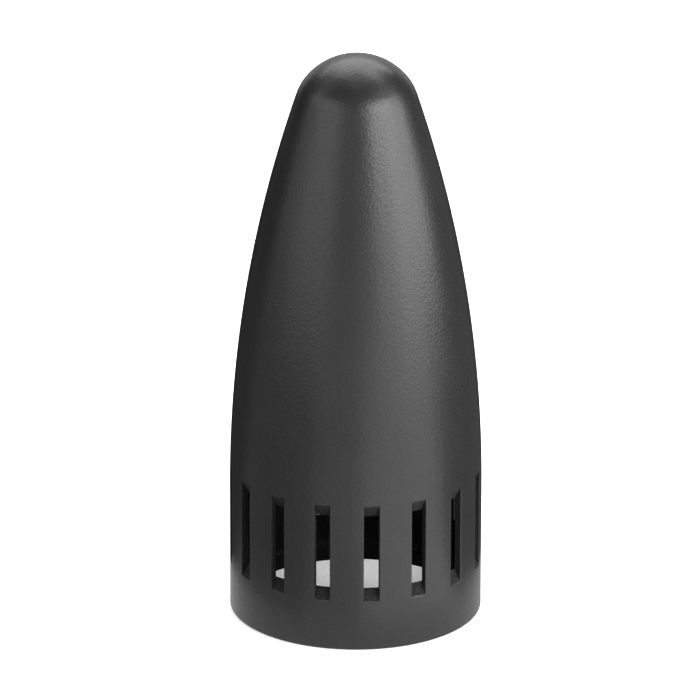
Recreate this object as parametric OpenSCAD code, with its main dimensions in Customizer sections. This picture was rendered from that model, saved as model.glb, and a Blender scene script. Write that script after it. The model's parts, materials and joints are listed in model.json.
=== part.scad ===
// Exhaust silencer for compressed air: a bullet-shaped plastic hood, open at its wide end, over a
// clamped cartridge of a perforated tube and a porous sleeve. Air comes up through the threaded port,
// out through the sleeve, back down past the carrier's arms and out of the ring of slots.
// Millimetres. The rim's face is z = 0, the axis is +Z and the tip is at the top.

/* [Hood outside] */
// Outer radius of the straight band that holds the slots
hood_r = 30; // [29.6:0.1:30.6]
// Height of the straight band, where the long flank starts
band_h = 30.3; // [29:0.1:32]
// Radius of the arc that forms the long flank
flank_r = 307; // [300:1:314]
// Height where the flank meets the rounded tip
tip_start_z = 129; // [127:0.5:130]
// Height of the centre of the tip's ball
tip_centre_z = 121.7; // [120:0.1:123]
// Chamfer on the rim's outer edge
rim_chamfer = 0.5; // [0.2:0.1:0.8]

/* [Hood inside] */
// Radius of the straight bore behind the slots
bore_r = 28.3; // [28.1:0.1:28.5]
// Height where the straight bore ends
bore_top_z = 37.5; // [36.5:0.1:38.5]
// Wall thickness of the flank and the tip
wall = 2.2; // [2:0.1:2.4]
// Number of inner ribs that the carrier seats against
rib_count = 8; // [4:1:12]
// Width of a rib
rib_w = 2; // [1.2:0.1:3]
// Radius of the ribs' inner faces
rib_r = 24.8; // [24.2:0.1:25.2]

/* [Slots] */
// Number of vent slots
slot_count = 16; // [8:1:20]
// Width of a slot
slot_w = 3.68; // [2.5:0.02:5]
// Turn of one slot's centre from the front, towards +X
slot_turn = 7.28; // [0:0.01:22]
// Height of a slot's lower end, on the outside
slot_low_z = 12.25; // [10:0.05:14]
// Height of a slot's upper end, on the outside
slot_high_z = 36.15; // [34:0.05:36.2]
// Slope of a slot's ends, in degrees: both run inwards to a shorter slot
slot_lean = 60; // [0:1:65]

/* [Rim ring] */
// Inner radius of the ring pressed into the mouth
ring_in_r = 27; // [26.6:0.1:27.4]
// Height of the ring
ring_h = 4.7; // [4:0.1:6]
// Chamfer on the ring's inner edges
ring_chamfer = 0.4; // [0.2:0.1:0.6]

/* [Carrier] */
// Outer radius of the carrier's ring
carrier_r = 27.2; // [27:0.1:27.2]
// Radial thickness of the carrier's ring
carrier_ring_t = 1.8; // [1.4:0.1:2.4]
// Outer radius of the carrier's hub
hub_r = 20; // [19.4:0.1:20.4]
// Height of the hub's lower face
hub_z = 38; // [37.6:0.1:38.6]
// Height of the hub
hub_h = 12; // [11:0.5:13]
// Height where the carrier seats against the ribs
seat_z = 47; // [46.5:0.1:47.5]
// Height of the carrier's ring and arms
carrier_h = 5.5; // [5:0.1:5.5]
// Number of arms
arm_count = 6; // [3:1:8]
// Width of an arm
arm_w = 3; // [2:0.1:4]

/* [Port] */
// Radius of the port's wall, the crest radius of a female G1 thread
port_r = 15.146; // [15:0.001:15.3]
// Height of the port's mouth
port_z = 30; // [29.5:0.1:30.5]
// Depth from the mouth to the sealing shoulder
port_depth = 18; // [17:0.1:18.5]
// Chamfer at the port's mouth
port_chamfer = 1.5; // [1:0.1:1.8]
// Radius of the air passage above the thread
passage_r = 12.6; // [12:0.1:12.8]
// Width across flats of the bushing's hexagon
hex_af = 38; // [37:0.5:40]
// Height of the hexagon
hex_h = 7; // [6:0.1:7]
// Radius of the bushing's body and its outer thread
body_r = 18; // [17.8:0.1:18.2]

/* [Cartridge] */
// Outer radius of the perforated tube
tube_r = 13.5; // [13.3:0.1:13.5]
// Wall of the perforated tube
tube_t = 1; // [0.8:0.1:1.2]
// Number of rows of holes in the tube
hole_rows = 8; // [3:1:8]
// Holes in a row
holes_in_row = 12; // [6:1:14]
// Radius of a hole in the tube
hole_r = 2; // [1:0.1:2.2]
// Inner radius of the porous sleeve
sleeve_in_r = 14; // [13.8:0.1:14.4]
// Outer radius of the porous sleeve
sleeve_r = 17; // [16.4:0.1:17.2]
// Height of the porous sleeve
sleeve_h = 40; // [36:1:40]
// Radius of the tie rod
rod_r = 3; // [2.5:0.1:3]

/* [Hidden] */
$fn = 96;
flank_steps = 20;
tip_steps = 8;
past = 1;   // how far a cutter runs past the face it opens

// The snap ring and its groove
snap_t = 1.3;
snap_w = 3.1;
snap_gap = 34;
snap_ear_r = 2.1;
snap_hole_r = 0.9;
groove_r = 28.35;
groove_play = 0.1;
snap_top_z = seat_z - carrier_h;
snap_z = snap_top_z - snap_t;

// Heights up the cartridge
gasket_t = 1;
port_top_z = port_z + port_depth;
hex_top_z = port_z + hex_h;
nut_z = hub_z + hub_h;
nut_h = 5;
nut_r = 22;
neck_z = nut_z + nut_h;
bushing_top_z = neck_z + 3;
cross_z = neck_z - 1;
cross_h = 2.5;
tube_z = cross_z + cross_h;
sleeve_z = bushing_top_z + gasket_t;
cap_z = sleeve_z + sleeve_h + gasket_t;
cap_t = 2.5;
cap_top_z = cap_z + cap_t;
cap_r = sleeve_r + 0.3;

// The bushing's other radii and the pieces in it
neck_r = sleeve_r + 0.2;
counterbore_r = tube_r + 0.1;
relief_r = port_r + 0.4;
seal_t = 1.5;
thread_top_z = port_top_z - seal_t;
seal_in_r = passage_r + 0.2;
hub_bore_r = body_r + 0.1;
hex_bevel = 0.8;
spanner_slots = 6;
spanner_w = 4;
spanner_depth = 1.4;

// The cross that anchors the tie rod
cross_rim_t = 2;
cross_hub_r = 5;
cross_arms = 3;
cross_arm_w = 2.6;

// The tube's holes
hole_pitch = 4.6;
hole_start_z = tube_z + 5.5;

// The end cap's spigot and deflector cone
spigot_play = 0.1;
spigot_h = 4;
deflector_h = 9;
deflector_r = 5;

// Fasteners on the tie rod
rod_play = 0.2;
rod_nut_h = 5;
m6_af = 10;
washer_r = 6;
washer_t = 1.6;
spring_r = 6.2;
spring_t = 0.7;
spring_h = 1.4;
lock_hex_h = 4;
lock_collar_h = 2;
lock_collar_r = 4.6;
rod_chamfer = 0.6;
washer_z = cap_top_z;
spring_z = washer_z + washer_t;
lock_z = spring_z + spring_h;
rod_top_z = lock_z + lock_hex_h + lock_collar_h + 1;
rod_nut_z = cross_z - rod_nut_h;
rod_z = rod_nut_z - 1;

// The rubber star and the foam above the cap
star_in_r = 13;
star_r = 16.4;
star_h = 3;
star_reach = 18.2;
star_fingers = 6;
star_finger_w = 3.2;
foam_z = rod_top_z + 0.5;
foam_play = 0.3;

// Radius of the flank at a height, set in by a wall thickness
function flank_at(z, inset) =
    hood_r - flank_r + sqrt(pow(flank_r - inset, 2) - pow(z - band_h, 2));

// Radius of the tip's ball that meets the flank at tip_start_z
function tip_ball(inset) =
    sqrt(pow(flank_at(tip_start_z, inset), 2) + pow(tip_start_z - tip_centre_z, 2));

// Corner radius of a hexagon with a width across flats
function hex_corner(af) = af / 2 / cos(30);

// Points up the flank, from a height to the start of the tip
function flank_points(from_z, inset) = [
    for (i = [0 : flank_steps])
        let (z = from_z + (tip_start_z - from_z) * i / flank_steps)
            [flank_at(z, inset), z]
];

// Points over the tip's ball, from the end of the flank to the axis
function tip_points(inset) =
    let (
        ball = tip_ball(inset),
        low = asin((tip_start_z - tip_centre_z) / ball)
    )
    concat(
        [
            for (i = [1 : tip_steps - 1])
                let (a = low + (90 - low) * i / tip_steps)
                    [ball * cos(a), tip_centre_z + ball * sin(a)]
        ],
        [[0, tip_centre_z + ball]]
    );

// A ring with square edges
module ring(in_r, out_r, z, h) {
    translate([0, 0, z])
        difference() {
            cylinder(r = out_r, h = h);
            translate([0, 0, -past])
                cylinder(r = in_r, h = h + 2 * past);
        }
}

// A hexagonal prism whose corners are bevelled at both ends
module bevelled_hex(af, z, h, bevel) {
    corner = hex_corner(af);
    translate([0, 0, z])
        intersection() {
            cylinder(r = corner, h = h, $fn = 6);
            rotate_extrude()
                polygon([
                    [0, 0], [corner - bevel, 0], [corner, bevel * 0.6],
                    [corner, h - bevel * 0.6], [corner - bevel, h], [0, h]
                ]);
        }
}

// Outside of the hood: straight band, flank and tip, with a chamfered rim
module hood_outside() {
    rotate_extrude()
        polygon(concat(
            [[0, 0], [hood_r - rim_chamfer, 0], [hood_r, rim_chamfer]],
            flank_points(band_h, 0),
            tip_points(0)
        ));
}

// Inside of the hood, less the ribs that stand in it
module hood_cavity() {
    difference() {
        rotate_extrude()
            polygon(concat(
                [[0, -past], [bore_r, -past], [bore_r, bore_top_z]],
                flank_points(bore_top_z, wall),
                tip_points(wall)
            ));
        for (i = [0 : rib_count - 1])
            rotate([0, 0, slot_turn - 90 + (i + 0.25) * 360 / rib_count])
                translate([rib_r, -rib_w / 2, seat_z])
                    cube([hood_r - rib_r, rib_w, tip_start_z - seat_z]);
    }
}

// The slots, each a little shorter on the inside than on the outside
module slot_cuts() {
    out_x = hood_r + past;
    in_x = bore_r - past;
    out_lean = (hood_r - out_x) * tan(slot_lean);
    in_lean = (hood_r - in_x) * tan(slot_lean);
    for (i = [0 : slot_count - 1])
        rotate([0, 0, slot_turn - 90 + i * 360 / slot_count])
            translate([0, slot_w / 2, 0])
                rotate([90, 0, 0])
                    linear_extrude(slot_w)
                        polygon([
                            [in_x, slot_low_z + in_lean], [out_x, slot_low_z + out_lean],
                            [out_x, slot_high_z - out_lean], [in_x, slot_high_z - in_lean]
                        ]);
}

module hood() {
    color([0.14, 0.14, 0.15])
        difference() {
            hood_outside();
            hood_cavity();
            slot_cuts();
            translate([0, 0, snap_z - groove_play])
                cylinder(r = groove_r, h = snap_t + groove_play);
        }
}

// Ring pressed into the mouth: it stiffens the rim and centres the hood on the device
module rim_ring() {
    color([0.12, 0.12, 0.13])
        rotate_extrude()
            polygon([
                [ring_in_r + ring_chamfer, 0], [bore_r, 0], [bore_r, ring_h],
                [ring_in_r + ring_chamfer, ring_h], [ring_in_r, ring_h - ring_chamfer],
                [ring_in_r, ring_chamfer]
            ]);
}

// Hub, arms and ring that hold the port in the middle of the hood
module carrier() {
    color([0.1, 0.1, 0.1])
        difference() {
            union() {
                translate([0, 0, hub_z])
                    cylinder(r = hub_r, h = hub_h);
                ring(carrier_r - carrier_ring_t, carrier_r, snap_top_z, carrier_h);
                for (i = [0 : arm_count - 1])
                    rotate([0, 0, i * 360 / arm_count])
                        translate([body_r, -arm_w / 2, snap_top_z])
                            cube([carrier_r - body_r - carrier_ring_t / 2, arm_w, carrier_h]);
            }
            translate([0, 0, hub_z - past])
                cylinder(r = hub_bore_r, h = hub_h + 2 * past);
        }
}

// Inner snap ring with two eared ends
module retaining_ring() {
    out_r = groove_r - groove_play;
    in_r = out_r - snap_w;
    ear_at = in_r + snap_ear_r * 0.55;
    color([0.55, 0.56, 0.58])
        translate([0, 0, snap_z])
            difference() {
                union() {
                    rotate([0, 0, snap_gap / 2])
                        rotate_extrude(angle = 360 - snap_gap)
                            translate([in_r, 0])
                                square([snap_w, snap_t]);
                    for (side = [-1, 1])
                        rotate([0, 0, side * snap_gap / 2])
                            translate([ear_at, 0, 0])
                                cylinder(r = snap_ear_r, h = snap_t);
                }
                for (side = [-1, 1])
                    rotate([0, 0, side * snap_gap / 2])
                        translate([ear_at, 0, -past])
                            cylinder(r = snap_hole_r, h = snap_t + 2 * past);
            }
}

// Female port, with a hexagon below the hub and a neck that the sleeve stands on
module port_bushing() {
    color([0.75, 0.74, 0.7])
        difference() {
            union() {
                bevelled_hex(hex_af, port_z, hex_h, hex_bevel);
                translate([0, 0, hex_top_z])
                    cylinder(r = body_r, h = neck_z - hex_top_z);
                translate([0, 0, neck_z])
                    cylinder(r = neck_r, h = bushing_top_z - neck_z);
            }
            rotate_extrude()
                polygon([
                    [0, port_z - past], [port_r + port_chamfer + past, port_z - past],
                    [port_r, port_z + port_chamfer], [port_r, thread_top_z],
                    [relief_r, thread_top_z], [relief_r, port_top_z], [passage_r, port_top_z],
                    [passage_r, cross_z], [counterbore_r, cross_z],
                    [counterbore_r, bushing_top_z + past], [0, bushing_top_z + past]
                ]);
        }
}

// Flat ring in the relief above the thread, which the end of the device's nipple seals against
module port_seal() {
    color([0.2, 0.2, 0.2])
        ring(seal_in_r, relief_r, thread_top_z, seal_t);
}

// Gasket between the hexagon and the carrier's hub
module flange_gasket() {
    color([0.15, 0.15, 0.16])
        ring(hub_bore_r, hex_af / 2, hex_top_z, hub_z - hex_top_z);
}

// Slotted ring nut that clamps the bushing to the hub
module ring_nut() {
    color([0.7, 0.69, 0.66])
        difference() {
            ring(body_r, nut_r, nut_z, nut_h);
            for (i = [0 : spanner_slots - 1])
                rotate([0, 0, i * 360 / spanner_slots])
                    translate([nut_r - spanner_depth, -spanner_w / 2, nut_z - past])
                        cube([spanner_depth + past, spanner_w, nut_h + 2 * past]);
        }
}

// Three-armed cross in the bushing: it anchors the tie rod and lets the air past
module anchor_cross() {
    color([0.6, 0.61, 0.63])
        difference() {
            union() {
                ring(counterbore_r - cross_rim_t, counterbore_r, cross_z, cross_h);
                translate([0, 0, cross_z])
                    cylinder(r = cross_hub_r, h = cross_h);
                for (i = [0 : cross_arms - 1])
                    rotate([0, 0, 90 + i * 360 / cross_arms])
                        translate([0, -cross_arm_w / 2, cross_z])
                            cube([counterbore_r - cross_rim_t / 2, cross_arm_w, cross_h]);
            }
            translate([0, 0, cross_z - past])
                cylinder(r = rod_r, h = cross_h + 2 * past);
        }
}

// Perforated tube, with every second row of holes turned by half a pitch
module diffuser_tube() {
    color([0.66, 0.67, 0.69])
        difference() {
            ring(tube_r - tube_t, tube_r, tube_z, cap_z - tube_z);
            for (row = [0 : hole_rows - 1], i = [0 : holes_in_row - 1])
                rotate([0, 0, (i + (row % 2) / 2) * 360 / holes_in_row])
                    translate([tube_r - tube_t - past, 0, hole_start_z + row * hole_pitch])
                        rotate([0, 90, 0])
                            cylinder(r = hole_r, h = tube_t + 2 * past, $fn = 24);
        }
}

// Sleeve of sintered granules that breaks up the blast
module porous_sleeve() {
    color([0.88, 0.88, 0.85])
        ring(sleeve_in_r, sleeve_r, sleeve_z, sleeve_h);
}

module lower_gasket() {
    color([0.15, 0.15, 0.16])
        ring(counterbore_r, sleeve_r, bushing_top_z, gasket_t);
}

module upper_gasket() {
    color([0.15, 0.15, 0.16])
        ring(counterbore_r, sleeve_r, cap_z - gasket_t, gasket_t);
}

// Cap that closes the tube and the sleeve, with a cone that turns the air outwards
module end_cap() {
    spigot_r = tube_r - tube_t - spigot_play;
    color([0.12, 0.12, 0.12])
        rotate_extrude()
            polygon([
                [rod_r + rod_play, cap_z - spigot_h - deflector_h],
                [deflector_r, cap_z - spigot_h - deflector_h],
                [spigot_r, cap_z - spigot_h], [spigot_r, cap_z], [cap_r, cap_z],
                [cap_r, cap_top_z - 0.6], [cap_r - 0.6, cap_top_z],
                [rod_r + rod_play, cap_top_z]
            ]);
}

// Rubber star that keeps the cartridge's free end from knocking on the hood
module centering_star() {
    color([0.08, 0.08, 0.08]) {
        ring(star_in_r, star_r, cap_top_z, star_h);
        for (i = [0 : star_fingers - 1])
            rotate([0, 0, i * 360 / star_fingers])
                intersection() {
                    translate([star_r - 1, -star_finger_w / 2, cap_top_z])
                        cube([star_reach, star_finger_w, star_h]);
                    ring(star_in_r + 1, star_reach, cap_top_z, star_h);
                }
    }
}

// Stud through the whole cartridge
module tie_rod() {
    color([0.7, 0.71, 0.73])
        rotate_extrude()
            polygon([
                [0, rod_z], [rod_r - rod_chamfer, rod_z], [rod_r, rod_z + rod_chamfer],
                [rod_r, rod_top_z - rod_chamfer], [rod_r - rod_chamfer, rod_top_z], [0, rod_top_z]
            ]);
}

module rod_nut() {
    color([0.72, 0.72, 0.7])
        difference() {
            bevelled_hex(m6_af, rod_nut_z, rod_nut_h, 0.5);
            translate([0, 0, rod_nut_z - past])
                cylinder(r = rod_r, h = rod_nut_h + 2 * past);
        }
}

module flat_washer() {
    color([0.75, 0.75, 0.74])
        ring(rod_r + rod_play, washer_r, washer_z, washer_t);
}

// Cone-shaped spring washer that keeps the clamp load as the gaskets settle
module disc_spring() {
    color([0.4, 0.4, 0.42])
        rotate_extrude()
            polygon([
                [rod_r + rod_play, spring_z + spring_h - spring_t],
                [rod_r + rod_play, spring_z + spring_h],
                [spring_r, spring_z + spring_t], [spring_r, spring_z]
            ]);
}

// Self-locking nut with a collar
module lock_nut() {
    color([0.72, 0.72, 0.7])
        difference() {
            union() {
                bevelled_hex(m6_af, lock_z, lock_hex_h, 0.5);
                translate([0, 0, lock_z + lock_hex_h])
                    cylinder(r = lock_collar_r, h = lock_collar_h);
            }
            translate([0, 0, lock_z - past])
                cylinder(r = rod_r, h = lock_hex_h + lock_collar_h + 2 * past);
        }
}

// Open-cell foam glued into the tip
module dome_foam() {
    color([0.3, 0.3, 0.32])
        rotate_extrude()
            polygon(concat(
                [[0, foam_z]],
                flank_points(foam_z, wall + foam_play),
                tip_points(wall + foam_play)
            ));
}

hood();
rim_ring();
carrier();
retaining_ring();
port_bushing();
port_seal();
flange_gasket();
ring_nut();
anchor_cross();
diffuser_tube();
porous_sleeve();
lower_gasket();
upper_gasket();
end_cap();
centering_star();
tie_rod();
rod_nut();
flat_washer();
disc_spring();
lock_nut();
dome_foam();
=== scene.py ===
"""Looks of the pneumatic silencer: a satin black hood over a clamped cartridge, on a pale floor.

The hood, the port and the other pieces are built here in mesh code inside the CAD model's box.
Lengths are in metres; MM turns the millimetres of the design into metres.
"""
import json
import math

import bmesh
import bpy
from mathutils import Matrix, Vector, noise


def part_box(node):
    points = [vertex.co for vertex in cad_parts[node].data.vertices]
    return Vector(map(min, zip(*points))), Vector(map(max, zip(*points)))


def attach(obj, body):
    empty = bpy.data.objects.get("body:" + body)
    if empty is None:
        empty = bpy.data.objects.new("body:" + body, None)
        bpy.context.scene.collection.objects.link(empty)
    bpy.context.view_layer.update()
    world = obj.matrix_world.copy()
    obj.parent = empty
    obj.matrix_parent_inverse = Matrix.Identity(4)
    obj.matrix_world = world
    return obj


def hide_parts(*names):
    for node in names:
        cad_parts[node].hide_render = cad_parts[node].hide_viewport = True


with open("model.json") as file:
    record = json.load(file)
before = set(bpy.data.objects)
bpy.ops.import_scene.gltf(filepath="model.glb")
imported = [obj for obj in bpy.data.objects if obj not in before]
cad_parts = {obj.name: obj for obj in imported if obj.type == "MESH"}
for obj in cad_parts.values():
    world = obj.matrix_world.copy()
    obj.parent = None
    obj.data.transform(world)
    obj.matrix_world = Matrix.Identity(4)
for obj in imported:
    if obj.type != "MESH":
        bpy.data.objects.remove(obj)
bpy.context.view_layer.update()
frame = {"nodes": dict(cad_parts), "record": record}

MM = 0.001
TURN = 2 * math.pi

# ------------------------------------------------------------------ the design's own sizes, in mm
# What the frame's boxes don't give is repeated here from the CAD design.
HOOD_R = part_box("hood")[1].x / MM
BAND_H = 30.3
FLANK_R = 307.0
TIP_START = 129.0
TIP_CENTRE = 121.7
TIP_BLEND = 1.4
RIM_ROUND = 0.5
WALL = 2.2

BORE_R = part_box("rim_ring")[1].x / MM
BORE_TOP = 37.5
GROOVE_R = 28.35
GROOVE_PLAY = 0.1
GROOVE_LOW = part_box("retaining_ring")[0].z / MM - GROOVE_PLAY
GROOVE_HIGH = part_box("retaining_ring")[1].z / MM
SEAT_Z = GROOVE_HIGH + 5.5

SLOTS = 16
SLOT_W = 3.68
SLOT_TURN = 7.28
SLOT_LOW = 12.25
SLOT_HIGH = 36.15
SLOT_EDGE = 0.2
CUTTER_R = 21.03
CUTTER_AT = 47.3

RIB_R = 24.8
RIB_HALF_W = 1.0
RIB_EVERY = 2
DRAFT = 0.05

PORT_LOW, PORT_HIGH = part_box("port_bushing")
PORT_R = PORT_HIGH.x / MM
PORT_Z = PORT_LOW.z / MM
PORT_TOP = PORT_HIGH.z / MM
HEX_AF = 38.0
HEX_BEVEL_W = 0.8
HEX_BEVEL_H = 0.5
HEX_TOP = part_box("flange_gasket")[0].z / MM
SEAL_LOW, SEAL_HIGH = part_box("port_seal")
BODY_R = 18.0
BODY_THREAD_RISE = 13.0
BODY_THREAD_PITCH = 1.5
BODY_THREAD_DEPTH = 0.55
NECK_R = 17.2
NECK_H = 3.0
NECK_CHAMFER = 0.3
THREAD_R = 15.146
THREAD_MAJOR_R = 16.62
THREAD_PITCH = 2.309
THREAD_CHAMFER = 1.5
PASSAGE_R = 12.6
COUNTERBORE_R = 13.6
CROSS_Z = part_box("anchor_cross")[0].z / MM

ROD_R = 3.0
ROD_PITCH = 1.0
ROD_THREAD_DEPTH = 0.58
ROD_CHAMFER = 0.6
SLEEVE_BORE_R = 14.0
GRANULE_DEPTH = 0.16
FOAM_GAP = 0.3
FOAM_ROUND = 0.6
FOAM_DEPTH = 0.5

# Rows of mesh up a slot, and the steps through the wall that its curved ends take.
SLOT_ROWS = 12
SLOT_LAYERS = 3


# ------------------------------------------------------------------ mesh helpers
def as_object(name, mesh):
    """Puts a mesh in the scene."""
    made = bpy.data.objects.new(name, mesh)
    bpy.context.scene.collection.objects.link(made)
    return made


def object_from(name, verts, faces):
    """A new object from points in mm, with its normals facing outwards."""
    mesh = bpy.data.meshes.new(name)
    mesh.from_pydata([Vector(v) * MM for v in verts], [], faces)
    work = bmesh.new()
    work.from_mesh(mesh)
    bmesh.ops.remove_doubles(work, verts=work.verts, dist=1e-7)
    bmesh.ops.recalc_face_normals(work, faces=work.faces)
    work.to_mesh(mesh)
    work.free()
    return as_object(name, mesh)


def shade(piece, angle=35.0):
    """Smooth shading with sharp edges past an angle."""
    piece.data.shade_smooth()
    piece.data.set_sharp_from_angle(angle=math.radians(angle))
    return piece


def round_edges(piece, width, segments):
    """Rounds the edges that carry a bevel weight."""
    bevel = piece.modifiers.new("edge_round", "BEVEL")
    bevel.width = width * MM
    bevel.segments = segments
    bevel.limit_method = "WEIGHT"
    bevel.use_clamp_overlap = True
    bevel.miter_outer = "MITER_ARC"
    normals = piece.modifiers.new("even_normals", "WEIGHTED_NORMAL")
    normals.keep_sharp = True


def turned(name, outline, columns, shape, closed=True):
    """A body of revolution from (r, z) points, in mm. shape(r, z, angle) may move a point in or out.
    A closed outline is a ring; an open one starts and ends on the axis."""
    verts, rows, faces = [], [], []
    for r, z in outline:
        if r < 1e-6:
            rows.append([len(verts)] * columns)
            verts.append((0, 0, z))
            continue
        ids = []
        for c in range(columns):
            a = TURN * c / columns
            radius = shape(r, z, a)
            ids.append(len(verts))
            verts.append((radius * math.cos(a), radius * math.sin(a), z))
        rows.append(ids)
    last = len(rows) if closed else len(rows) - 1
    for k in range(last):
        low, high = rows[k], rows[(k + 1) % len(rows)]
        for c in range(columns):
            d = (c + 1) % columns
            ring = [low[c], low[d], high[d], high[c]]
            face = [v for i, v in enumerate(ring) if v not in ring[:i]]
            if len(face) > 2:
                faces.append(face)
    return object_from(name, verts, faces)


def refined(points, step):
    """The same outline with a point at least every step mm."""
    out = []
    for (r0, z0), (r1, z1) in zip(points, points[1:] + points[:1]):
        n = max(1, math.ceil(math.hypot(r1 - r0, z1 - z0) / step))
        out += [(r0 + (r1 - r0) * i / n, z0 + (z1 - z0) * i / n) for i in range(n)]
    return out


# ------------------------------------------------------------------ the hood
def flank_at(z, inset=0.0):
    """Radius of the long curved flank at a height, on the outside or an inset below it."""
    return HOOD_R - FLANK_R + math.sqrt((FLANK_R - inset) ** 2 - (z - BAND_H) ** 2)


def ball_radius(inset=0.0):
    """Radius of the tip's ball, which meets the flank at TIP_START."""
    return math.hypot(flank_at(TIP_START, inset), TIP_START - TIP_CENTRE)


def spread(low, high, count):
    """count + 1 evenly spaced values from low to high."""
    return [low + (high - low) * i / count for i in range(count + 1)]


def tip_rows(inset, from_z, flank_count, tip_count):
    """(r, z) up the flank, through a soft blend and over the ball to the axis."""
    ball = ball_radius(inset)
    low_z, high_z = TIP_START - TIP_BLEND, TIP_START + TIP_BLEND
    rows = [(flank_at(z, inset), z) for z in spread(from_z, low_z, flank_count)]
    start = Vector(rows[-1])
    corner = Vector((flank_at(TIP_START, inset), TIP_START))
    end = Vector((math.sqrt(ball**2 - (high_z - TIP_CENTRE) ** 2), high_z))
    for t in spread(0, 1, 8)[1:-1]:
        rows.append(tuple(start.lerp(corner, t).lerp(corner.lerp(end, t), t)))
    first = math.asin((high_z - TIP_CENTRE) / ball)
    for a in spread(first, math.pi / 2, tip_count):
        rows.append((max(ball * math.cos(a), 0.0), TIP_CENTRE + ball * math.sin(a)))
    rows[-1] = (0.0, TIP_CENTRE + ball)
    return rows


def outer_rows():
    """(r, z) of the hood's outside from the rim's face, and the first and last row of the slots."""
    rows = [
        (HOOD_R - RIM_ROUND * (1 - math.sin(a)), RIM_ROUND * (1 - math.cos(a)))
        for a in spread(0, math.pi / 2, 4)
    ]
    rows += [(HOOD_R, z) for z in spread(RIM_ROUND, SLOT_LOW, 5)[1:]]
    first = len(rows) - 1
    for z in spread(SLOT_LOW, SLOT_HIGH, SLOT_ROWS)[1:]:
        rows.append((HOOD_R if z < BAND_H else flank_at(z), z))
    last = len(rows) - 1
    rows += tip_rows(0.0, SLOT_HIGH, 44, 18)[1:]
    return rows, first, last


def slot_half(radius):
    """Half the height of a slot at a radius: a disc cutter leaves it shorter on the inside."""
    return math.sqrt(CUTTER_R**2 - (CUTTER_AT - radius) ** 2)


def inner_rows():
    """The same for the hood's inside, where the slots are shorter."""
    mid = (SLOT_LOW + SLOT_HIGH) / 2
    low, high = mid - slot_half(BORE_R), mid + slot_half(BORE_R)
    rows = [(BORE_R, z) for z in spread(0, low, 5)]
    first = len(rows) - 1
    rows += [(BORE_R, z) for z in spread(low, high, SLOT_ROWS)[1:]]
    last = len(rows) - 1
    rows += [(BORE_R, BORE_TOP), (flank_at(BORE_TOP, WALL), BORE_TOP)]
    rows += [(flank_at(GROOVE_LOW, WALL), GROOVE_LOW), (GROOVE_R, GROOVE_LOW)]
    rows += [(GROOVE_R, GROOVE_HIGH), (flank_at(GROOVE_HIGH, WALL), GROOVE_HIGH)]
    rows += [(flank_at(SEAT_Z, WALL), SEAT_Z)]
    rows += tip_rows(WALL, SEAT_Z + DRAFT, 30, 12)
    return rows, first, last


def hood_columns(radius):
    """Angles round the hood as (angle, is_slot, is_rib).
    The faces between a slot's column and the next column are the slot's."""
    edge = math.asin(SLOT_W / 2 / radius)
    rib = math.asin(RIB_HALF_W / RIB_R)
    draft = math.asin(DRAFT / RIB_R)
    pitch = TURN / SLOTS
    mid = pitch / 2
    columns = []
    for k in range(SLOTS):
        base = math.radians(SLOT_TURN - 90) + k * pitch
        ribbed = k % RIB_EVERY == 0
        columns += [(base + edge * s, True, False) for s in (-1, -1 / 3, 1 / 3)]
        near = spread(edge, mid - rib - draft, 3)
        columns += [(base + a, False, False) for a in near]
        columns += [(base + mid + rib * s, False, ribbed) for s in (-1, 0, 1)]
        columns += [(base + pitch - a, False, False) for a in reversed(near[1:])]
    return columns


def hood_points(rows, columns, with_ribs):
    """Points of one side of the wall, as one line of positions round the hood for each row."""
    grid = []
    for r, z in rows:
        line = []
        for a, _, rib in columns:
            radius = min(r, RIB_R) if with_ribs and rib and z > SEAT_Z + DRAFT / 2 else r
            line.append((radius * math.cos(a), radius * math.sin(a), z))
        grid.append(line)
    return grid


def cut_slot(start, sides, layers, verts):
    """Faces round one slot, from the outer skin through the wall to the inner skin.
    sides holds the outer and inner (rows, ids, first row) and layers the columns at each depth."""
    (out_rows, outer, out_first), (_, inner, in_first) = sides
    middle = (SLOT_LOW + SLOT_HIGH) / 2
    across = [start + i for i in range(4)]
    loop = [(0, c) for c in across[:-1]]
    loop += [(k, across[-1]) for k in range(SLOT_ROWS)]
    loop += [(SLOT_ROWS, c) for c in reversed(across[1:])]
    loop += [(k, across[0]) for k in range(SLOT_ROWS, 0, -1)]
    rings = [[outer[out_first + k][c] for k, c in loop]]
    for depth, columns in layers:
        ring = []
        for k, c in loop:
            r_out, z_out = out_rows[out_first + k]
            r = r_out + (BORE_R - r_out) * depth
            z = middle + (z_out - middle) * slot_half(r) / slot_half(HOOD_R)
            a = columns[c][0]
            ring.append(len(verts))
            verts.append((r * math.cos(a), r * math.sin(a), z))
        rings.append(ring)
    rings.append([inner[in_first + k][c] for k, c in loop])
    faces = []
    for near, far in zip(rings, rings[1:]):
        for i in range(len(loop)):
            j = (i + 1) % len(loop)
            faces.append([near[i], near[j], far[j], far[i]])
    return faces, list(zip(rings[0], rings[0][1:] + rings[0][:1]))


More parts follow.
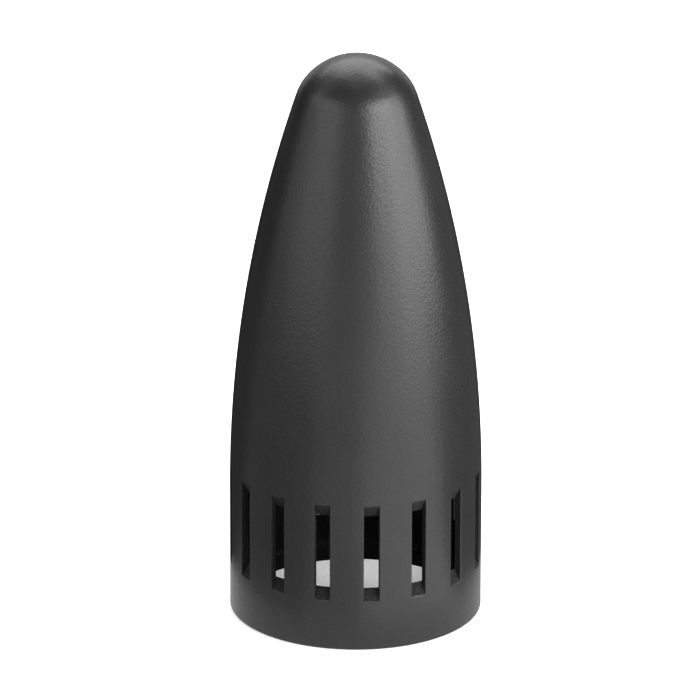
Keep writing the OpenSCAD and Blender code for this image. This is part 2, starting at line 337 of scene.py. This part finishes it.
def build_hood():
    """The moulded shell with its slots cut through by a disc, a snap ring's groove and inner ribs."""
    out_rows, out_first, out_last = outer_rows()
    in_rows, in_first, in_last = inner_rows()
    out_cols, in_cols = hood_columns(HOOD_R), hood_columns(BORE_R)
    n = len(out_cols)
    verts, skin_faces, cut_faces, soft = [], [], [], []

    def lay(rows, columns, with_ribs):
        ids = []
        for line in hood_points(rows[:-1], columns, with_ribs):
            ids.append(list(range(len(verts), len(verts) + n)))
            verts.extend(line)
        ids.append([len(verts)] * n)
        verts.append((0, 0, rows[-1][1]))
        return ids

    def skin(ids, first, last):
        for k in range(len(ids) - 1):
            for c in range(n):
                if out_cols[c][1] and first <= k < last:
                    continue
                d = (c + 1) % n
                face = [ids[k][c], ids[k][d], ids[k + 1][d], ids[k + 1][c]]
                skin_faces.append(face[:3] if face[2] == face[3] else face)

    outer = lay(out_rows, out_cols, False)
    inner = lay(in_rows, in_cols, True)
    skin(outer, out_first, out_last)
    skin(inner, in_first, in_last)
    for c in range(n):
        d = (c + 1) % n
        skin_faces.append([outer[0][c], outer[0][d], inner[0][d], inner[0][c]])
    depths = [i / SLOT_LAYERS for i in range(1, SLOT_LAYERS)]
    layers = [(t, hood_columns(HOOD_R + (BORE_R - HOOD_R) * t)) for t in depths]
    sides = ((out_rows, outer, out_first), (in_rows, inner, in_first))
    for k in range(SLOTS):
        made, rim = cut_slot(k * n // SLOTS, sides, layers, verts)
        cut_faces += made
        soft += rim

    mesh = bpy.data.meshes.new("hood_shell")
    mesh.from_pydata([Vector(v) * MM for v in verts], [], skin_faces + cut_faces)
    cut = mesh.attributes.new("cut", "FLOAT", "FACE")
    cut.data.foreach_set("value", [0.0] * len(skin_faces) + [1.0] * len(cut_faces))
    work = bmesh.new()
    work.from_mesh(mesh)
    work.verts.ensure_lookup_table()
    weight = work.edges.layers.float.new("bevel_weight_edge")
    for a, b in soft:
        work.edges.get((work.verts[a], work.verts[b]))[weight] = 1.0
    bmesh.ops.recalc_face_normals(work, faces=work.faces)
    work.to_mesh(mesh)
    work.free()
    hood = as_object("hood_shell", mesh)
    shade(hood, 30)
    round_edges(hood, SLOT_EDGE, segments=3)
    return hood


# ------------------------------------------------------------------ the port, the rod and the soft pieces
def thread_profile(phase):
    """0 at the root and 1 at the crest of a rounded V thread, over one turn of phase 0 to 1."""
    ridge = 1 - abs(2 * (phase % 1.0) - 1)
    return min(1.0, max(0.0, (ridge - 0.12) / 0.76))


def build_port():
    """The bushing: a bevelled hexagon, a turned body with an outer thread, and the port's inner thread."""
    seal_low, seal_high = SEAL_LOW.z / MM, SEAL_HIGH.z / MM
    relief_r = SEAL_HIGH.x / MM
    neck_z = PORT_TOP - NECK_H
    outline = [
        (PORT_R - HEX_BEVEL_W, PORT_Z), (PORT_R, PORT_Z + HEX_BEVEL_H),
        (PORT_R, HEX_TOP - HEX_BEVEL_H), (PORT_R - HEX_BEVEL_W, HEX_TOP),
        (BODY_R, HEX_TOP), (BODY_R, neck_z), (NECK_R, neck_z), (NECK_R, PORT_TOP - NECK_CHAMFER),
        (NECK_R - NECK_CHAMFER, PORT_TOP), (COUNTERBORE_R, PORT_TOP), (COUNTERBORE_R, CROSS_Z),
        (PASSAGE_R, CROSS_Z), (PASSAGE_R, seal_high), (relief_r, seal_high), (relief_r, seal_low),
        (THREAD_R, seal_low), (THREAD_R, PORT_Z + THREAD_CHAMFER), (THREAD_R + THREAD_CHAMFER, PORT_Z),
    ]
    rows = refined(outline, 0.26)

    def shape(r, z, a):
        if r > BODY_R + 0.05 and z < HEX_TOP + 0.01:
            side = (a % (TURN / 6)) - TURN / 12
            return min(r, HEX_AF / 2 / math.cos(side))
        if abs(r - THREAD_R) < 0.01 and z < seal_low:
            fade = min(1.0, (seal_low - z) / 0.8, (z - PORT_Z - 1.2) / 1.6)
            groove = 1 - thread_profile(z / THREAD_PITCH - a / TURN)
            return r + (THREAD_MAJOR_R - THREAD_R) * groove * max(0.0, fade)
        if abs(r - BODY_R) < 0.01 and HEX_TOP + BODY_THREAD_RISE < z < neck_z:
            return r - BODY_THREAD_DEPTH * (1 - thread_profile(z / BODY_THREAD_PITCH - a / TURN))
        return r

    return shade(turned("port_body", rows, 192, shape), 32)


def build_rod():
    """The stud: an M6 thread along its whole length, with chamfered ends."""
    low, high = (v.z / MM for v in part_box("tie_rod"))
    count = round((high - low) / (ROD_PITCH / 10))
    rows = [(0.0, low)] + [(ROD_R, z) for z in spread(low, high, count)] + [(0.0, high)]

    def shape(r, z, a):
        end = min(z - low, high - z)
        groove = ROD_THREAD_DEPTH * (1 - thread_profile(z / ROD_PITCH - a / TURN))
        return min(ROD_R - groove, ROD_R - ROD_CHAMFER + end)

    return shade(turned("stud", rows, 36, shape, closed=False), 40)


def build_sleeve():
    """The porous sleeve: its outer face is a packed layer of small granules."""
    low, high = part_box("porous_sleeve")
    outer_r = high.x / MM
    low_z, high_z = low.z / MM, high.z / MM
    outline = [(outer_r, low_z), (outer_r, high_z), (SLEEVE_BORE_R, high_z), (SLEEVE_BORE_R, low_z)]
    rows = refined(outline, 0.42)

    def shape(r, z, a):
        if abs(r - outer_r) > 0.01 or not low_z + 0.1 < z < high_z - 0.1:
            return r
        spot = Vector((r * math.cos(a), r * math.sin(a), z)) * 1.15
        near = noise.voronoi(spot)[0][0]
        return r - GRANULE_DEPTH * min(1.0, near * 1.3)

    return shade(turned("granule_sleeve", rows, 256, shape), 60)


def build_foam():
    """The plug of open-cell foam in the tip: a soft, pitted body a little inside the solid's outline."""
    low_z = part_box("dome_foam")[0].z / MM
    sides = tip_rows(WALL + FOAM_GAP, low_z + FOAM_ROUND, 16, 8)
    rows = [(r, low_z) for r in spread(0.0, sides[0][0] - FOAM_ROUND, 12)] + sides

    def shape(r, z, a):
        if r < 1.0:
            return r
        spot = Vector((r * math.cos(a), r * math.sin(a), z)) * 0.9
        return r - FOAM_DEPTH * noise.noise(spot) ** 2 * 2

    return shade(turned("foam_plug", rows, 96, shape, closed=False), 60)


# ------------------------------------------------------------------ materials
class Nodes:
    """Short calls for one material's node tree."""

    def __init__(self, name):
        self.material = bpy.data.materials.new(name)
        self.material.use_nodes = True
        self.tree = self.material.node_tree
        self.shader = next(n for n in self.tree.nodes if n.type == "BSDF_PRINCIPLED")
        self.coords = self.tree.nodes.new("ShaderNodeTexCoord").outputs["Object"]

    def link(self, a, b):
        self.tree.links.new(a, b)

    def noise(self, per_mm, detail=2.0, roughness=0.5):
        node = self.tree.nodes.new("ShaderNodeTexNoise")
        node.inputs["Scale"].default_value = per_mm / MM
        node.inputs["Detail"].default_value = detail
        node.inputs["Roughness"].default_value = roughness
        self.link(self.coords, node.inputs["Vector"])
        return node.outputs["Fac"]

    def cells(self, per_mm, feature="F1"):
        node = self.tree.nodes.new("ShaderNodeTexVoronoi")
        node.feature = feature
        node.inputs["Scale"].default_value = per_mm / MM
        self.link(self.coords, node.inputs["Vector"])
        return node.outputs["Distance"]

    def stretched(self, sx, sy, sz):
        """Coordinates squeezed along the axes, for brushed or turned marks."""
        node = self.tree.nodes.new("ShaderNodeMapping")
        node.inputs["Scale"].default_value = (sx, sy, sz)
        self.link(self.coords, node.inputs["Vector"])
        return node.outputs["Vector"]

    def ramp(self, value, low, high, out_low, out_high):
        node = self.tree.nodes.new("ShaderNodeMapRange")
        ends = {"From Min": low, "From Max": high, "To Min": out_low, "To Max": out_high}
        for key, number in ends.items():
            node.inputs[key].default_value = number
        self.link(value, node.inputs["Value"])
        return node.outputs["Result"]

    def math(self, how, a, b):
        node = self.tree.nodes.new("ShaderNodeMath")
        node.operation = how
        for socket, value in zip(node.inputs, (a, b)):
            if isinstance(value, (int, float)):
                socket.default_value = value
            else:
                self.link(value, socket)
        return node.outputs["Value"]

    def mix(self, factor, dark, light):
        node = self.tree.nodes.new("ShaderNodeMix")
        node.data_type = "RGBA"
        for key, value in (("A", dark), ("B", light)):
            socket = [s for s in node.inputs if s.name == key and s.type == "RGBA"][0]
            if isinstance(value, tuple):
                socket.default_value = (*value, 1)
            else:
                self.link(value, socket)
        self.link(factor, node.inputs["Factor"])
        return [s for s in node.outputs if s.type == "RGBA"][0]

    def bump(self, height, depth_mm):
        node = self.tree.nodes.new("ShaderNodeBump")
        node.inputs["Strength"].default_value = 1.0
        node.inputs["Distance"].default_value = depth_mm * MM
        self.link(height, node.inputs["Height"])
        return node.outputs["Normal"]

    def blend(self, factor, a, b):
        node = self.tree.nodes.new("ShaderNodeMix")
        self.link(factor, node.inputs["Factor"])
        for key, value in (("A", a), ("B", b)):
            self.link(value, [s for s in node.inputs if s.name == key and s.type == "VALUE"][0])
        return [s for s in node.outputs if s.type == "VALUE"][0]

    def attribute(self, name):
        node = self.tree.nodes.new("ShaderNodeAttribute")
        node.attribute_name = name
        return node.outputs["Fac"]

    def streaks(self):
        """Fine marks that run up the axis on every face round it."""
        node = self.tree.nodes.new("ShaderNodeTexNoise")
        node.inputs["Scale"].default_value = 3.2 / MM
        node.inputs["Detail"].default_value = 3.0
        self.link(self.stretched(1, 1, 0.04), node.inputs["Vector"])
        return node.outputs["Fac"]

    def edges(self, low=0.5, high=0.58):
        """0 on flat ground, 1 on worn convex edges."""
        geometry = self.tree.nodes.new("ShaderNodeNewGeometry")
        return self.ramp(geometry.outputs["Pointiness"], low, high, 0.0, 1.0)

    def finish(self, colour, roughness, normal, metallic=0.0):
        self.link(colour, self.shader.inputs["Base Color"])
        self.link(roughness, self.shader.inputs["Roughness"])
        self.link(normal, self.shader.inputs["Normal"])
        self.shader.inputs["Metallic"].default_value = metallic
        return self.material


def moulded_plastic(name, base, rough, grain_mm, depth_mm, cut_faces=False):
    """Glass-filled nylon from an eroded mould: fine grain, faint flow clouds, slightly polished edges.
    Faces with the attribute cut are sawn: matt, darker, and streaked along the cutter's path."""
    n = Nodes(name)
    grain = n.noise(1 / grain_mm, detail=2.0, roughness=0.5)
    mottle = n.noise(0.5 / grain_mm, detail=1.0)
    pits = n.cells(0.6 / grain_mm)
    clouds = n.noise(0.05, detail=3.0)
    dark = (base * 0.86,) * 3
    light = (base * 1.14,) * 3
    body = n.mix(n.ramp(clouds, 0.3, 0.7, 0, 1), dark, light)
    body = n.mix(n.ramp(grain, 0.35, 0.7, 0, 0.4), body, (base * 1.9,) * 3)
    body = n.mix(n.math("MULTIPLY", n.edges(), n.ramp(grain, 0.35, 0.65, 0.2, 1)), body, (base * 2,) * 3)
    speckle = n.ramp(grain, 0.3, 0.7, rough + 0.05, rough - 0.05)
    roughness = n.math("ADD", speckle, n.ramp(clouds, 0.3, 0.7, -0.02, 0.02))
    height = n.math("ADD", grain, n.math("MULTIPLY", mottle, 2.3))
    height = n.math("ADD", height, n.math("MULTIPLY", pits, 0.15))
    if cut_faces:
        cut = n.attribute("cut")
        streaks = n.streaks()
        sawn = n.mix(n.ramp(streaks, 0.35, 0.65, 0, 1), (base * 0.1,) * 3, (base * 0.6,) * 3)
        body = n.mix(cut, body, sawn)
        roughness = n.blend(cut, roughness, n.ramp(streaks, 0.3, 0.7, 1.0, 0.8))
        height = n.blend(cut, height, n.math("MULTIPLY", streaks, 2.2))
    return n.finish(body, roughness, n.bump(height, depth_mm))


def metal(name, base, rough, scale, marks_mm=0.15, depth_mm=0.004):
    """Metal with fine machining or rolling marks. scale squeezes them along X, Y and Z."""
    n = Nodes(name)
    marks = n.tree.nodes.new("ShaderNodeTexNoise")
    marks.inputs["Scale"].default_value = 1 / (marks_mm * MM)
    marks.inputs["Detail"].default_value = 2.0
    n.link(n.stretched(*scale), marks.inputs["Vector"])
    stain = n.noise(0.12, detail=4.0, roughness=0.6)
    dark = tuple(c * 0.82 for c in base)
    body = n.mix(n.ramp(stain, 0.35, 0.65, 0, 1), dark, base)
    wear = tuple(min(1.0, c * 1.25) for c in base)
    body = n.mix(n.edges(), body, wear)
    roughness = n.ramp(n.math("ADD", marks.outputs["Fac"], stain), 0.7, 1.3, rough - 0.07, rough + 0.09)
    return n.finish(body, roughness, n.bump(marks.outputs["Fac"], depth_mm), metallic=1.0)


def rubber(name, base, rough):
    """Moulded rubber with a little dust and greyer, rubbed edges."""
    n = Nodes(name)
    dust = n.noise(0.35, detail=4.0, roughness=0.65)
    fine = n.noise(6.0, detail=2.0)
    body = n.mix(n.ramp(dust, 0.45, 0.75, 0, 1), base, tuple(c * 1.9 for c in base))
    body = n.mix(n.edges(), body, tuple(c * 2.4 for c in base))
    roughness = n.ramp(dust, 0.3, 0.7, rough - 0.06, rough + 0.06)
    return n.finish(body, roughness, n.bump(fine, 0.01))


def granules(name, base):
    """Sintered polymer: round granules with painted shade in the pores between them, and rubbed, paler
    edges.
    """
    n = Nodes(name)
    cell = n.cells(2.6)
    tint = n.noise(0.2, detail=3.0)
    # Painted shade: darker between the granules, in the pores.
    body = n.mix(n.ramp(cell, 0.25, 0.75, 0, 1), base, tuple(c * 0.45 for c in base))
    body = n.mix(n.ramp(tint, 0.3, 0.7, 0, 0.25), body, tuple(c * 0.8 for c in base))
    body = n.mix(n.edges(0.52, 0.64), body, tuple(min(1.0, c * 1.1) for c in base))
    roughness = n.ramp(cell, 0.0, 0.8, 0.5, 0.8)
    height = n.math("SUBTRACT", 1.0, cell)
    return n.finish(body, roughness, n.bump(height, 0.12))


def foam(name, base):
    """Open-cell foam: a web of thin struts round pores darkened with painted shade, a little paler where
    it is rubbed.
    """
    n = Nodes(name)
    web = n.cells(1.3, feature="DISTANCE_TO_EDGE")
    fine = n.noise(3.0, detail=3.0)
    # Painted shade: the pores between the struts are darkened.
    body = n.mix(n.ramp(web, 0.02, 0.16, 0, 1), base, tuple(c * 0.25 for c in base))
    body = n.mix(n.edges(0.51, 0.6), body, tuple(c * 1.6 for c in base))
    roughness = n.ramp(fine, 0.3, 0.7, 0.85, 0.95)
    return n.finish(body, roughness, n.bump(n.ramp(web, 0.0, 0.2, 1, 0), 0.35))


SLOT_MATERIAL = {
    "hood_plastic": moulded_plastic("hood_plastic", 0.0172, 0.32, 0.4, 0.018, cut_faces=True),
    "ring_plastic": moulded_plastic("ring_plastic", 0.016, 0.42, 0.45, 0.015),
    "carrier_plastic": moulded_plastic("carrier_plastic", 0.014, 0.48, 0.5, 0.02),
    "spring_steel": metal("spring_steel", (0.16, 0.16, 0.17), 0.42, (1, 1, 6)),
    "port_metal": metal("port_metal", (0.66, 0.64, 0.59), 0.3, (0.15, 0.15, 3)),
    "seal_rubber": rubber("seal_rubber", (0.014, 0.014, 0.014), 0.62),
    "gasket_rubber": rubber("gasket_rubber", (0.03, 0.028, 0.027), 0.75),
    "stainless": metal("stainless", (0.56, 0.56, 0.57), 0.34, (1, 1, 0.12)),
    "sintered_polymer": granules("sintered_polymer", (0.78, 0.78, 0.73)),
    "zinc_steel": metal("zinc_steel", (0.6, 0.62, 0.65), 0.36, (1, 1, 3)),
    "foam": foam("foam", (0.07, 0.07, 0.075)),
}


def paint(piece, slot):
    """Gives a piece or a CAD node the material of its slot."""
    piece.data.materials.clear()
    piece.data.materials.append(SLOT_MATERIAL[slot])


def place(piece, node, slot):
    """piece stands for a CAD node, rides on the one body and has the node's finish."""
    paint(piece, slot)
    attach(piece, "root")
    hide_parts(node)
    return piece


# ------------------------------------------------------------------ stage, lights and camera
CAMERA_DISTANCE = 1.5
CAMERA_ELEVATION = 20.06
CAMERA_LOOK_Z = 0.066
CAMERA_AIM = (-0.00144, 0.0643)
CAMERA_LENS = 326.55
CAMERA_ROLL = 0.134

# The floor's painted shade: its glow from front to back inside the hood's mouth, and a painted contact
# shadow from the rim outwards, and the distances in metres over which they change.
PAINTED_SHADE_IN_MOUTH = (0.2, 0.5)
PAINTED_SHADE_IN_MOUTH_SPAN = (0.004, 0.028)
PAINTED_CONTACT_SHADOW_GLOW = (0.5, 1.0)
PAINTED_CONTACT_SHADOW_SPAN = (0.03, 0.06)
PAINTED_SHADE_RIM_SPAN = (0.0285, 0.0298)
FLOOR_HALF = 6.0
FLOOR_DROP = 0.00002
CARD_DROP = 0.00004

# The soft boxes lie on a sphere round this point.
LIT_FROM = Vector((0, 0, 0.06))
LIT_AT = 0.9
BOX_STEPS = 12
FLOOR_STEPS = 24


def glow(name, strength):
    """An even emitter."""
    material = bpy.data.materials.new(name)
    material.use_nodes = True
    tree = material.node_tree
    tree.nodes.clear()
    out = tree.nodes.new("ShaderNodeOutputMaterial")
    light = tree.nodes.new("ShaderNodeEmission")
    light.inputs["Strength"].default_value = strength
    tree.links.new(light.outputs["Emission"], out.inputs["Surface"])
    return material


def light_card(name, points, columns, strength):
    """A lit surface from rows of points in metres. It lights and is reflected, but is never seen."""
    rows = len(points) // columns
    faces = []
    for j in range(rows - 1):
        for i in range(columns - 1):
            k = j * columns + i
            faces.append((k, k + 1, k + columns + 1, k + columns))
    mesh = bpy.data.meshes.new(name)
    mesh.from_pydata(points, [], faces)
    mesh.materials.append(glow(name, strength))
    card = as_object(name, mesh)
    card.visible_camera = False
    card.visible_shadow = False


def soft_box(name, azimuths, elevations, strength):
    """A curved soft box round the object. Azimuth 0 is the camera's side, and it grows towards +X."""
    points = []
    for e in spread(*(math.radians(v) for v in elevations), 8):
        for a in spread(*(math.radians(v) for v in azimuths), BOX_STEPS):
            away = Vector((math.cos(e) * math.sin(a), -math.cos(e) * math.cos(a), math.sin(e)))
            points.append(LIT_FROM + away * LIT_AT)
    light_card(name, points, BOX_STEPS + 1, strength)


def floor_card(name, azimuths, radii, strength):
    """A part of the floor as the object's gloss reflects it."""
    points = []
    for r in radii:
        for a in spread(*(math.radians(v) for v in azimuths), FLOOR_STEPS):
            points.append(Vector((r * math.sin(a), -r * math.cos(a), -CARD_DROP)))
    light_card(name, points, FLOOR_STEPS + 1, strength)


def build_floor():
    """The pale floor that the camera sees, with painted shade in its glow: dim inside the hood's mouth and
    brighter towards the back there, where light comes from, and a painted contact shadow round the rim
    that fades to white further out. Floor cards stand in for it in reflections."""
    mesh = bpy.data.meshes.new("floor")
    corners = [(x * FLOOR_HALF, y * FLOOR_HALF, 0) for x, y in ((-1, -1), (1, -1), (1, 1), (-1, 1))]
    mesh.from_pydata(corners, [], [(0, 1, 2, 3)])
    floor = as_object("floor", mesh)
    floor.location.z = -FLOOR_DROP
    n = Nodes("floor")
    split = n.tree.nodes.new("ShaderNodeSeparateXYZ")
    reach = n.tree.nodes.new("ShaderNodeVectorMath")
    reach.operation = "LENGTH"
    n.link(n.coords, split.inputs["Vector"])
    n.link(n.coords, reach.inputs[0])
    away = reach.outputs["Value"]
    # Painted shade under the hood: the floor's glow rises from front to back inside the mouth.
    inside = n.ramp(split.outputs["Y"], *PAINTED_SHADE_IN_MOUTH_SPAN, *PAINTED_SHADE_IN_MOUTH)
    # Painted contact shadow: the floor's glow is dimmer near the rim and white further out.
    outside = n.ramp(away, *PAINTED_CONTACT_SHADOW_SPAN, *PAINTED_CONTACT_SHADOW_GLOW)
    # The painted shade inside the rim gives way to the painted contact shadow outside it.
    painted_floor_shade = n.blend(n.ramp(away, *PAINTED_SHADE_RIM_SPAN, 0, 1), inside, outside)
    n.shader.inputs["Base Color"].default_value = (0.85, 0.85, 0.85, 1)
    n.shader.inputs["Roughness"].default_value = 0.9
    n.shader.inputs["Specular IOR Level"].default_value = 0.0
    n.shader.inputs["Emission Color"].default_value = (1, 1, 1, 1)
    n.link(painted_floor_shade, n.shader.inputs["Emission Strength"])
    mesh.materials.append(n.material)
    floor.visible_glossy = False
    floor.visible_diffuse = False
    floor.visible_shadow = False


def build_world():
    """White where the camera looks past the floor. All the light on the object comes from the cards."""
    world = bpy.data.worlds.new("studio")
    bpy.context.scene.world = world
    world.use_nodes = True
    tree = world.node_tree
    tree.nodes.clear()
    out = tree.nodes.new("ShaderNodeOutputWorld")
    mix = tree.nodes.new("ShaderNodeMixShader")
    path = tree.nodes.new("ShaderNodeLightPath")
    unseen = tree.nodes.new("ShaderNodeBackground")
    seen = tree.nodes.new("ShaderNodeBackground")
    unseen.inputs["Strength"].default_value = 0.0
    seen.inputs["Color"].default_value = (1, 1, 1, 1)
    tree.links.new(path.outputs["Is Camera Ray"], mix.inputs["Fac"])
    tree.links.new(unseen.outputs[0], mix.inputs[1])
    tree.links.new(seen.outputs[0], mix.inputs[2])
    tree.links.new(mix.outputs[0], out.inputs["Surface"])


def build_camera():
    """A long lens 1.5 m away, about 20 degrees above the horizon."""
    data = bpy.data.cameras.new("camera")
    camera = as_object("camera", data)
    look = Vector((0, 0, CAMERA_LOOK_Z))
    tilt = math.radians(CAMERA_ELEVATION)
    back = Vector((0, -math.cos(tilt), math.sin(tilt)))
    camera.location = look + back * CAMERA_DISTANCE
    aim = Vector((CAMERA_AIM[0], 0, CAMERA_AIM[1]))
    turn = (camera.location - aim).to_track_quat("Z", "Y")
    camera.rotation_mode = "QUATERNION"
    camera.rotation_quaternion = turn @ Matrix.Rotation(math.radians(CAMERA_ROLL), 3, "Z").to_quaternion()
    data.sensor_width = 36.0
    data.lens = CAMERA_LENS
    data.clip_start = 0.05
    data.clip_end = 50.0
    bpy.context.scene.camera = camera


# The rig: a strong key on the right, a weak fill on the left, an arch behind, little from the front.
# name, azimuths, elevations in degrees, strength
SOFT_BOXES = [
    ("key_low_front", (22, 46), (-2, 18), 2.5),
    ("key_low", (46, 96), (-2, 18), 5),
    ("key", (22, 70), (18, 38), 8),
    ("key_back", (70, 96), (18, 38), 4),
    ("key_high", (46, 105), (38, 58), 1),
    ("front", (-28, 22), (-2, 34), 0.5),
    ("left_low", (-75, -28), (-2, 20), 1.5),
    ("left_low_back", (-102, -75), (-2, 20), 0.75),
    ("left", (-75, -28), (20, 38), 2),
    ("left_back", (-102, -75), (20, 38), 1.5),
    ("left_high", (-150, -75), (38, 60), 0.5),
    ("back_low", (145, 215), (-2, 34), 0.6),
    ("back_arch", (140, 225), (34, 56), 3.3),
    ("back_top", (105, 240), (56, 76), 3.7),
    ("top", (0, 360), (76, 90), 1),
]

# name, azimuths in degrees, radii in metres, strength
FLOOR_CARDS = [
    ("floor_near", (0, 360), (0.0285, 0.048), 0.8),
    ("floor_left", (-110, -35), (0.048, 2.0), 0.25),
    ("floor_front", (-35, 5), (0.048, 2.0), 0.65),
    ("floor_right", (5, 75), (0.048, 2.0), 1.4),
    ("floor_back_right", (75, 150), (0.048, 2.0), 0.1),
    ("floor_back_left", (210, 250), (0.048, 2.0), 0.05),
]


# ------------------------------------------------------------------ the model
build_camera()
for entry in frame["record"]["subparts"]:
    paint(frame["nodes"][entry["node"]], entry["material_slot"])

place(build_hood(), "hood", "hood_plastic")
place(build_port(), "port_bushing", "port_metal")
place(build_rod(), "tie_rod", "zinc_steel")
place(build_sleeve(), "porous_sleeve", "sintered_polymer")
foam_plug = place(build_foam(), "dome_foam", "foam")

build_floor()
build_world()
for name, azimuths, elevations, strength in SOFT_BOXES:
    soft_box(name, azimuths, elevations, strength)
for name, azimuths, radii, strength in FLOOR_CARDS:
    floor_card(name, azimuths, radii, strength)

bpy.context.scene.view_settings.view_transform = "Standard"
